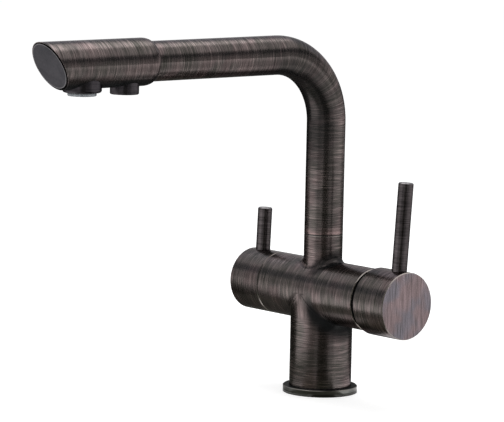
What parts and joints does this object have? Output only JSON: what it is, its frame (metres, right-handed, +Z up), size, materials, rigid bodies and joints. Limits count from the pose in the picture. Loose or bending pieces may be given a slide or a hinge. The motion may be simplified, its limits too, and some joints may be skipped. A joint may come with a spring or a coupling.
{
  "type": "kitchen mixer tap",
  "caption": "Kitchen mixer tap with a T-shaped body, a side mixer lever, a side lever for filtered water and a tall swivel spout with separate mixed and filtered outlets.",
  "frame": {"origin": "centre of the flange's underside, on the worktop and on the column's axis", "axes": "+Z up along the column, spout towards -Y, mixer handle towards +X"},
  "size_m": [0.1659, 0.286, 0.2632],
  "materials": {
    "brushed_bronze": "brushed oil-rubbed bronze, rings round each axis",
    "dark_bronze": "smooth dark bronze",
    "brass": "machined",
    "steel": "plain",
    "ceramic": "lapped",
    "rubber": "matt",
    "white_plastic": "moulded",
    "clear_plastic": "translucent grey"
  },
  "bodies": {
    "tap_body": {"base_flange": "dark_bronze", "base_gasket": "rubber", "body": "brushed_bronze", "spout_grub_screw": "steel", "spout_glide_ring": "brass", "cartridge_base": "white_plastic", "cartridge_seals": "rubber", "fixed_disc": "ceramic", "cartridge_housing": "white_plastic", "cartridge_nut": "brass", "mixer_dome": "dark_bronze", "valve_body": "brass", "valve_seat_seal": "rubber", "valve_fixed_disc": "ceramic"},
    "spout": {"spout_tube": "brushed_bronze", "spout_tail": "brass", "spout_o_rings": "rubber", "spout_head": "brushed_bronze", "head_end_plate": "dark_bronze", "filtered_water_hose": "white_plastic", "aerator_housing": "dark_bronze", "aerator_seal": "rubber", "aerator_insert": "clear_plastic", "filtered_outlet": "dark_bronze", "filtered_outlet_insert": "white_plastic"},
    "mixer_carrier": {"cartridge_carrier": "white_plastic", "pivot_pin": "steel"},
    "mixer_disc": {"moving_disc": "ceramic", "disc_driver": "white_plastic"},
    "mixer_handle": {"mixer_stem": "brass", "mixer_cap": "brushed_bronze", "mixer_lever": "dark_bronze", "mixer_set_screw": "steel"},
    "filter_handle": {"valve_turning_disc": "ceramic", "valve_spindle": "brass", "valve_spindle_o_rings": "rubber", "valve_spindle_clip": "steel", "filter_knob": "brushed_bronze", "filter_lever": "dark_bronze", "filter_set_screw": "steel"}
  },
  "joints": [
    {"name": "spout_swivel", "type": "hinge", "parent": "tap_body", "child": "spout", "pos_m": [0, 0, 0.1152], "axis": [0, 0, 1], "range_deg": [-180, 180]},
    {"name": "mixer_turn", "type": "hinge", "parent": "tap_body", "child": "mixer_carrier", "pos_m": [0.047, 0, 0.0739], "axis": [1, 0, 0], "range_deg": [-41, 49]},
    {"name": "mixer_tilt", "type": "hinge", "parent": "mixer_carrier", "child": "mixer_handle", "pos_m": [0.047, 0, 0.0739], "axis": [0, 0.9976, -0.0698], "range_deg": [0, 20]},
    {"name": "disc_slide", "type": "slide", "parent": "mixer_carrier", "child": "mixer_disc", "axis": [0, 0.0698, 0.9976], "range_m": [0, 0.0028]},
    {"name": "filter_turn", "type": "hinge", "parent": "tap_body", "child": "filter_handle", "pos_m": [-0.046, 0, 0.0739], "axis": [1, 0, 0], "range_deg": [0, 90]}
  ],
  "couplings": [
    {"joint": "disc_slide", "follows": "mixer_tilt", "m_per_rad": 0.008}
  ]
}
